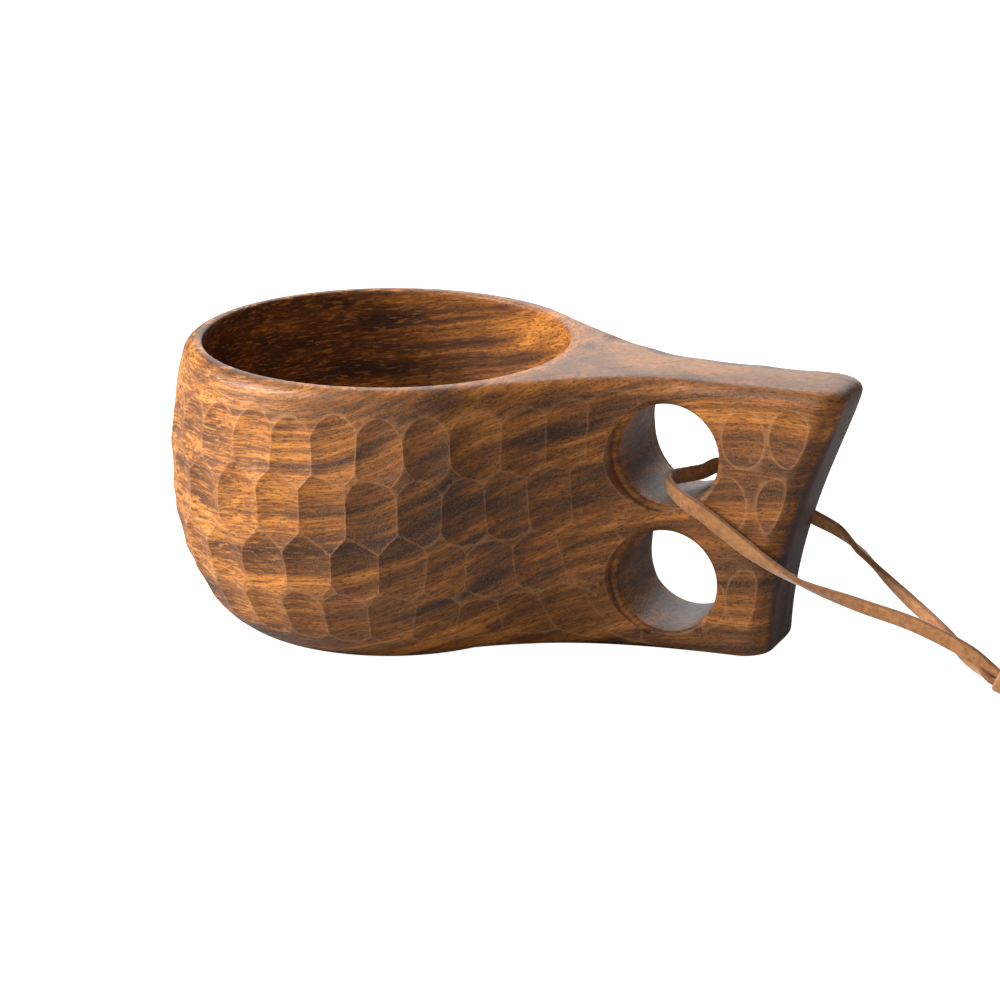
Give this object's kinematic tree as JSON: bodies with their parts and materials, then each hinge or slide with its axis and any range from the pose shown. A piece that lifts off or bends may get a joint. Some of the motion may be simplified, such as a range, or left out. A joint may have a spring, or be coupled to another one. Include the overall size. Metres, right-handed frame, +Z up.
{
  "type": "carved wooden drinking cup with lace",
  "caption": "Low round drinking cup carved in one piece with a short thick handle bored by finger holes, and a flat suede lace looped through the upper hole.",
  "frame": {"origin": "middle of the flat base, on the surface that the cup stands on", "axes": "+X from the bowl along the handle to its end, +Z up out of the bowl; the cup is the same on both sides of the XZ plane"},
  "size_m": [0.2067, 0.0926, 0.061],
  "materials": {
    "walnut": "oiled hardwood, satin, gouge marks sanded over",
    "suede": "napped tan suede, matte, darker at its cut edges"
  },
  "bodies": {
    "cup": {"cup_body": "walnut"},
    "lace": {"lace_loop": "suede", "lace_knot": "suede", "lace_tail_long": "suede", "lace_tail_short": "suede"}
  },
  "joints": [
    {"name": "lace_swing", "type": "hinge", "parent": "cup", "child": "lace", "pos_m": [0.0656, 0, 0.045], "axis": [0, -1, 0], "range_deg": [0, 115]}
  ]
}
